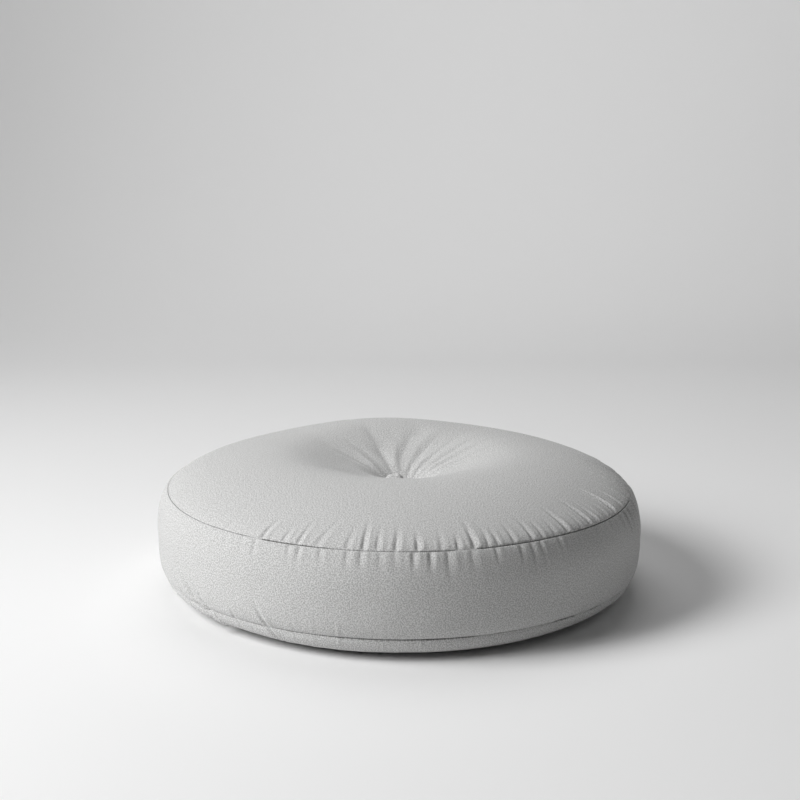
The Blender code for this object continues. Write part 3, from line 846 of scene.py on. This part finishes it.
def rolled(run, turn, radius):
    """A quarter circle: run = r (1 - sin turn), inset = r (1 - cos turn). Plain rows make room."""
    at = np.radians(turn)
    gap = HALF_GAP + GAP_SHARE * (radius - ROLL_TIGHT)
    rolled_run = gap + radius * (1 - np.sin(at))
    room = (gap + radius) * np.clip(1 - run / ROOM_REACH, 0.0, 1.0)
    return np.where(turn > 0, rolled_run, run + room), radius * (1 - np.cos(at))


# %% [markdown]
# ## The top panel
#
# The top is a disc of cloth about 470 mm across before it is sewn. A grid warped over the crown
# would bunch up at the tuft. Rings fit it: close together beside the seam and the tuft, where the
# shape is busy, and wide apart on the calm crown. The cloth is 1.8 mm thick, so the skin turns
# over its edge in the seam and comes back underneath with fewer points.

# %% Make the top panel
CLOTH = 1.8 * MM
RIM = 1728
TURNS = np.array([90, 78, 66, 54, 42, 30, 18, 6.0])
HIDDEN = -1.0  # in place of a turn, for rows of an inner face
SHORT_RUNS = [0.4, 1.0, 1.8, 2.8, 4.0, 5.4, 7, 8.8, 10.8, 13, 15.5, 18.5, 22, 26, 30.5, 35.5]
RUNS = np.array([*SHORT_RUNS, 41, 47, 54, 62]) * MM
TUFT_STEPS = ((0.6, 12, 0.7), (12, 26, 0.9), (26, 42, 1.5), (42, 70, 2.8))
TUFT_RADII = np.concatenate([np.arange(*step) for step in TUFT_STEPS]) * MM
CALM_RADII = np.array([70, 74, 79, 84, 90, 96, 103, 110, 118, 126, 134, 142, 149.0]) * MM
# The hidden faces, out from the middle. Each row: how often the rim's count is halved, radius in mm.
HIDDEN_RADII = (
    (5, 3), (5, 5), (4, 8), (4, 12), (3, 18), (3, 25), (3, 34), (3, 45),
    (2, 60), (2, 80), (2, 100), (2, 125), (2, 150),
)  # fmt: skip
HIDDEN_RUNS = (45, 30, 18, 10, 4)
EDGE_RUN = 1.2 * MM
MIDDLE_ROOM = 1.4


def ring_count(radius):
    """Points in a ring: the rim's count, halved for each time that the radius is far smaller."""
    for halving, least in enumerate((140, 42, 15, 6, 3)):
        if radius >= least * MM:
            return RIM >> halving
    return RIM // 32


def hidden_rows():
    """Rows as (count, distance) under the top panel, out from the tuft to its edge."""
    rows = [(RIM >> halving, float(top.at_radius(r * MM))) for halving, r in HIDDEN_RADII]
    rows += [(RIM // 4, top.length - run * MM) for run in HIDDEN_RUNS]
    return rows + [(RIM // 2, top.length - EDGE_RUN)]


def top_rows():
    """Rows as (count, distance, inset, turn): the outer face in to out, then the inner face back."""
    radii = np.concatenate([TUFT_RADII, CALM_RADII])
    rows = [(1, 0.0, 0.0, 0.0)]
    rows += [(ring_count(r), float(top.at_radius(r)), 0.0, 0.0) for r in radii]
    rows += [(RIM, top.length - run, 0.0, 0.0) for run in RUNS[::-1]]
    rows += [(RIM, top.length, 0.0, turn) for turn in TURNS[::-1]]
    rows += [(RIM, top.length - HALF_GAP, CLOTH, HIDDEN)]
    rows += [(count, distance, CLOTH, HIDDEN) for count, distance in hidden_rows()[::-1]]
    return rows + [(1, 0.0, MIDDLE_ROOM * CLOTH, HIDDEN)]


def top_points(angle, distance, inset, turn):
    """The outline's point, moved out by puckers and creases, with its edge rolled in."""
    run, sink = rolled(top.length - distance, turn, roll_radius(TOP_OPEN, angle))
    run = np.where(turn < 0, top.length - distance, run)
    sink = np.where(turn < 0, 0.0, sink)
    points = place(top, angle, top.length - run, inset + sink - over_seam(angle, run))
    return settled(top, angle, top.length - run, drawn_in(points, turn < 0))


def make_top():
    """Rows to columns, columns to points, and the flat cut disc as the cloth's own map."""
    rows = top_rows()
    angle, distance, inset, sizes = flat_columns([row[:3] for row in rows])
    turn = np.repeat([row[3] for row in rows], sizes)
    turned = np.radians(angle)
    flat = np.stack([distance * np.sin(turned), -distance * np.cos(turned)], 1)
    return skin("top_cloth", top_points(angle, distance, inset, turn), sizes, flat)


top_cloth = make_top()

# %% [markdown]
# ## The side band with its filling
#
# The band is one strip, sewn into a ring. It is the piece that holds the filling, so it is made
# as one filled form: under the top panel it goes on as the filling's crown, and under the bottom
# panel as its foot. Neither shows, so both have few points.

# %% Make the side band
UNDER = CLOTH + 0.6 * MM
BAND_RUNS = np.array(SHORT_RUNS) * MM
LOW_RUNS = np.array([0.4, 1.0, 1.8, 2.8, 4.0, 5.6, 7.6, 10, 12.8, 16, 20, 25, 31]) * MM
FOOT_RADII = (217.5, 215.5, 213.6, 210, 206, 202, 195, 175, 120)


def band_points(angle, distance, turn, low):
    """The band's face: puckers fall from the top seam, folds rise from the bottom one."""
    radius = np.where(low, roll_radius(BOTTOM_OPEN, angle), roll_radius(TOP_OPEN, angle))
    run, sink = rolled(np.where(low, band.length - distance, distance), turn, radius)
    here = np.where(low, band.length - run, run)
    lift = under_seam(angle, here) + by_low_seam(angle, band.length - here)
    return settled(band, angle, here, place(band, angle, here, sink - lift))


def crown_points(angle, distance):
    """The filling's crown: the top panel's own shape, one cloth and a hair lower."""
    lift = over_seam(angle, top.length - distance)
    points = place(top, angle, distance, UNDER - np.minimum(lift, 0.0))
    return settled(top, angle, distance, drawn_in(points, True))


def foot_rows():
    """Rows as (count, distance) under the filling, in from the bottom seam to the middle."""
    rows = [(RIM // 2, 1.0 * MM), (RIM // 4, 4.0 * MM)]
    rows += [(RIM // 4, float(bottom.at_radius(r * MM))) for r in FOOT_RADII]
    rows += [(RIM // 8, float(bottom.at_radius(60 * MM))), (RIM // 16, float(bottom.at_radius(25 * MM)))]
    return rows + [(1, bottom.length)]


def make_band():
    """Crown from the tuft out, the face between its two rolled edges, then the foot back in."""
    crown = [(1, 0.0), *hidden_rows(), (RIM, top.length + HALF_GAP)]
    angle, distance, _, sizes = flat_columns([(n, d, 0.0) for n, d in crown])
    points = [crown_points(angle, distance)]
    uv = [np.zeros((len(angle), 2))]
    face = [(0.0, turn, False) for turn in TURNS] + [(run, 0.0, False) for run in BAND_RUNS]
    face += [(band.length - run, 0.0, True) for run in LOW_RUNS[::-1]]
    face += [(band.length, turn, True) for turn in TURNS[::-1]]
    angle, distance, _, face_sizes = flat_columns([(RIM, d, 0.0) for d, _, _ in face])
    turn = np.repeat([row[1] for row in face], face_sizes)
    low = np.repeat([row[2] for row in face], face_sizes)
    points.append(band_points(angle, distance, turn, low))
    uv.append(np.stack([np.radians(angle) * BULGE[0], -distance], 1))
    foot = [(RIM, -HALF_GAP), *foot_rows()]
    angle, distance, _, foot_sizes = flat_columns([(n, d, 0.0) for n, d in foot])
    under = place(bottom, angle, distance, np.full(len(angle), UNDER))
    points.append(settled(bottom, angle, distance, under))
    uv.append(np.zeros((len(angle), 2)))
    return skin("band_cloth", np.concatenate(points), sizes + face_sizes + foot_sizes, np.concatenate(uv))


band_cloth = make_band()

# %% [markdown]
# ## The bottom panel
#
# Only a narrow strip of the bottom shows, between its seam and the floor. It curves in under the
# cushion and lies flat where it carries the weight. The underside is finished plain.

# %% Make the bottom panel
BOTTOM_RUNS = np.concatenate([LOW_RUNS, [38 * MM]])
CLEAR_HEIGHT = 6.0 * MM


def bottom_points(angle, distance, inset, turn):
    """The outline's point with the folds that cross the seam, its edge rolled in, over the floor."""
    run, sink = rolled(distance, turn, roll_radius(BOTTOM_OPEN, angle))
    run = np.where(turn < 0, distance, run)
    sink = np.where(turn < 0, 0.0, sink)
    lift = by_low_seam(angle, run, way=-1.5)
    clear = np.clip(bottom.at(run, 0.0)[1] / CLEAR_HEIGHT, 0.0, 1.0)
    points = settled(bottom, angle, run, place(bottom, angle, run, inset + sink - lift * clear))
    points[:, 2] = np.maximum(points[:, 2], 0.0)
    return points


def make_bottom():
    """Inner face from the middle out, the rolled edge, then the outer face in to the middle."""
    rows = [(n, float(d), CLOTH, HIDDEN) for n, d in [*foot_rows()[::-1], (RIM, HALF_GAP)]]
    rows += [(RIM, 0.0, 0.0, turn) for turn in TURNS]
    rows += [(RIM, run, 0.0, 0.0) for run in BOTTOM_RUNS]
    rows += [(RIM // 2, float(bottom.at_radius(r * MM)), 0.0, 0.0) for r in (182, 174)]
    rows += [(RIM // 4, float(bottom.at_radius(r * MM)), 0.0, 0.0) for r in (160, 120)]
    rows += [(RIM // 8, float(bottom.at_radius(60 * MM)), 0.0, 0.0)]
    rows += [(RIM // 16, float(bottom.at_radius(25 * MM)), 0.0, 0.0), (1, bottom.length, 0.0, 0.0)]
    angle, distance, inset, sizes = flat_columns([row[:3] for row in rows])
    turn = np.repeat([row[3] for row in rows], sizes)
    turned = np.radians(angle)
    flat = (bottom.length - distance)[:, None] * np.stack([np.sin(turned), -np.cos(turned)], 1)
    return skin("bottom_cloth", bottom_points(angle, distance, inset, turn), sizes, flat)


bottom_cloth = make_bottom()

# %% [markdown]
# ## The woven cloth
#
# The cloth is a plain weave of light and darker grey yarns, so from a step away it looks like fine
# pepper and salt. A picture of cloth could be wrapped round the pieces. Here the grain is worked
# out on each piece's own map of the flat cloth, in metres: one noise drawn out along the warp, one
# along the weft, a coarser one for thick places in the yarn, and a fine relief as bump. It follows
# the cloth over every fold.

# %% Mix the cloth
LIGHT_GREY = (0.67, 0.67, 0.665, 1.0)
DARK_GREY = (0.42, 0.42, 0.415, 1.0)
YARN = 0.78 * MM
SLUB = 2.2 * MM
SLUB_SHARE = 0.12
LONG = 1.7  # how far a cell of the noise is drawn out along its yarn
HALF_RAMP = 0.085
RELIEF = 0.35 * MM


def node(tree, kind, **settings):
    """A new node with these properties set."""
    made = tree.nodes.new(kind)
    for name, value in settings.items():
        setattr(made, name, value)
    return made


def yarn_noise(tree, uv, across, along):
    """Noise stretched along the yarn: cells of one width across it and another along it."""
    scaled = node(tree, "ShaderNodeMapping")
    scaled.inputs["Scale"].default_value = (1 / across, 1 / along, 1.0)
    tree.links.new(uv, scaled.inputs["Vector"])
    noise = node(tree, "ShaderNodeTexNoise", noise_dimensions="2D")
    noise.inputs["Scale"].default_value = 1.0
    noise.inputs["Detail"].default_value = 1.0
    tree.links.new(scaled.outputs["Vector"], noise.inputs["Vector"])
    return noise.outputs["Fac"]


def cloth_material():
    """Colour and relief from warp noise plus weft noise; sheen and roughness on the shader itself."""
    material = bpy.data.materials.new("grey_woven_cloth")
    material.use_nodes = True
    tree = material.node_tree
    shader = tree.nodes["Principled BSDF"]
    shader.inputs["Roughness"].default_value = 0.95
    shader.inputs["Specular IOR Level"].default_value = 0.2
    shader.inputs["Sheen Weight"].default_value = 0.15
    shader.inputs["Sheen Roughness"].default_value = 0.5
    uv = node(tree, "ShaderNodeUVMap", uv_map="cloth_metres").outputs["UV"]
    warp = yarn_noise(tree, uv, YARN, LONG * YARN)
    weft = yarn_noise(tree, uv, LONG * YARN, YARN)
    both = node(tree, "ShaderNodeMath", operation="ADD")
    tree.links.new(warp, both.inputs[0])
    tree.links.new(weft, both.inputs[1])
    slub = node(tree, "ShaderNodeMath", operation="MULTIPLY_ADD")
    slub.inputs[1].default_value = SLUB_SHARE
    tree.links.new(yarn_noise(tree, uv, SLUB, LONG * SLUB), slub.inputs[0])
    tree.links.new(both.outputs[0], slub.inputs[2])
    ramp = node(tree, "ShaderNodeMapRange")
    ramp.inputs["From Min"].default_value = 1.0 + SLUB_SHARE / 2 - HALF_RAMP
    ramp.inputs["From Max"].default_value = 1.0 + SLUB_SHARE / 2 + HALF_RAMP
    tree.links.new(slub.outputs[0], ramp.inputs["Value"])
    colour = node(tree, "ShaderNodeMix", data_type="RGBA")
    colour.inputs["A"].default_value = DARK_GREY
    colour.inputs["B"].default_value = LIGHT_GREY
    tree.links.new(ramp.outputs["Result"], colour.inputs["Factor"])
    tree.links.new(colour.outputs["Result"], shader.inputs["Base Color"])
    bump = node(tree, "ShaderNodeBump")
    bump.inputs["Strength"].default_value = 0.5
    bump.inputs["Distance"].default_value = RELIEF
    tree.links.new(both.outputs[0], bump.inputs["Height"])
    tree.links.new(bump.outputs["Normal"], shader.inputs["Normal"])
    return material


cloth = cloth_material()
pieces = (top_cloth, band_cloth, bottom_cloth)
for piece in pieces:
    piece.data.materials.append(cloth)
print("cloth on", [piece.name for piece in pieces])

# %% [markdown]
# ## The studio
#
# A pale floor curves up into a pale wall far behind, so there is no corner, and it does so all the
# way round, so that any side can be looked at. Two soft lamps on the left, one above the other, give
# the shape its light and its long soft shadow. A high lamp behind lights the top, one more the wall,
# and a weak one on the right and a dim even sky fill in the rest. One big lamp could light it all,
# but several can be set one by one, each for the part of the picture that it lights.

# %% The floor as a wide bowl
FLOOR_RADIUS = 3.0
BOWL_MIDDLE = -1.5
BOWL_ROUND = 1.2
RIM_HEIGHT = 1.35
PALE = (0.88, 0.88, 0.88, 1.0)


def make_floor():
    """A line that is flat, then a quarter circle, then upright, turned about the axis."""
    turn = np.linspace(0.0, np.pi / 2, 24)
    bowl = FLOOR_RADIUS + BOWL_ROUND * np.sin(turn)
    radius = np.concatenate([[0.001, 1.0, 2.0], bowl, [FLOOR_RADIUS + BOWL_ROUND]])
    height = np.concatenate([[0.0, 0.0, 0.0], BOWL_ROUND * (1 - np.cos(turn)), [RIM_HEIGHT]])
    around = np.radians(np.linspace(0.0, 360.0, 128, endpoint=False))
    points = np.stack(
        [
            np.outer(radius, np.sin(around)),
            BOWL_MIDDLE - np.outer(radius, np.cos(around)),
            np.repeat(height[:, None], len(around), 1),
        ],
        2,
    ).reshape(-1, 3)
    row, step = np.meshgrid(np.arange(len(radius) - 1), np.arange(len(around)), indexing="ij")
    after = (step + 1) % len(around)
    n = len(around)
    quads = np.stack([row * n + step, row * n + after, (row + 1) * n + after, (row + 1) * n + step], 2)
    mesh = bpy.data.meshes.new("floor")
    middle = [list(range(n))[::-1]]
    mesh.from_pydata(points.tolist(), [], quads.reshape(-1, 4).tolist() + middle)
    mesh.shade_smooth()
    floor = bpy.data.objects.new("floor", mesh)
    bpy.context.scene.collection.objects.link(floor)
    material = bpy.data.materials.new("pale_floor")
    material.use_nodes = True
    shader = material.node_tree.nodes["Principled BSDF"]
    shader.inputs["Base Color"].default_value = PALE
    shader.inputs["Roughness"].default_value = 1.0
    shader.inputs["Specular IOR Level"].default_value = 0.0
    mesh.materials.append(material)
    return floor


floor = make_floor()


# %% Lamps
def lamp(name, azimuth, elevation, distance, size, power, aim=(0.0, 0.0, 0.05), spread=180):
    """A soft lamp, wide by high, at this angle round the cushion and above the floor."""
    light = bpy.data.lights.new(name, "AREA")
    light.shape = "ELLIPSE"
    light.size, light.size_y = size
    light.energy = power
    light.spread = math.radians(spread)
    turned, up = math.radians(azimuth), math.radians(elevation)
    level = math.cos(up)
    spot = distance * Vector((math.sin(turned) * level, -math.cos(turned) * level, math.sin(up)))
    made = bpy.data.objects.new(name, light)
    made.location = spot
    made.rotation_euler = (Vector(aim) - spot).to_track_quat("-Z", "Y").to_euler()
    made.visible_camera = False
    bpy.context.scene.collection.objects.link(made)
    return made


lamp("key_lamp", -76, 42, 2.6, (1.2, 1.2), 19.9, aim=(0.5, -0.2, 0.05), spread=120)
lamp("low_key_lamp", -60, 30, 2.4, (0.9, 0.9), 10.0, aim=(0.5, 0.0, 0.05), spread=120)
lamp("high_lamp", 180, 60, 2.4, (2.0, 2.0), 15.9)
lamp("wall_lamp", 180, 55, 2.0, (2.4, 0.8), 12.9, aim=(0.0, 2.7, 1.6))
lamp("right_lamp", 80, 50, 2.2, (1.6, 1.2), 2.4)
world = bpy.data.worlds.new("soft_sky")
world.use_nodes = True
world.node_tree.nodes["Background"].inputs["Color"].default_value = (1.0, 1.0, 1.0, 1.0)
world.node_tree.nodes["Background"].inputs["Strength"].default_value = 0.01
bpy.context.scene.world = world
bpy.context.scene.view_settings.view_transform = "Standard"

# %% [markdown]
# ## The camera
#
# The camera looks down on the cushion at about 16 degrees from a metre and a half away. It could
# aim straight at the cushion with its lens shifted. Here it is tilted up a little instead, which
# puts the cushion in the lower half of the frame.

# %% The camera
AIM = Vector((0.0, 0.0, 0.06))
DISTANCE = 1.473
ELEVATION = math.radians(16.31)
FRAME = 800
FOCAL_PIXELS = 1555.6
AIM_ROW = 516.7
TILT = math.atan((AIM_ROW - FRAME / 2) / FOCAL_PIXELS)
lens = bpy.data.cameras.new("camera")
lens.lens = 70
lens.sensor_width = 36
lens.shift_x = 1 / FRAME
camera = bpy.data.objects.new("camera", lens)
camera.location = AIM + DISTANCE * Vector((0.0, -math.cos(ELEVATION), math.sin(ELEVATION)))
camera.rotation_euler = (math.pi / 2 - ELEVATION + TILT, 0.0, 0.0)
bpy.context.scene.collection.objects.link(camera)
bpy.context.scene.camera = camera
print("camera at", [round(part, 3) for part in camera.location])

# %% [markdown]
# ## Hand over
#
# Each piece stands for its imported solid, which is hidden, and moves with the one body there is.
# The two panels lie stretched over the filled band.

# %% Tie the pieces to the imported model
for piece, solid in zip(pieces, ("top_panel", "side_band", "bottom_panel")):
    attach(piece, "root")
    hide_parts(solid)
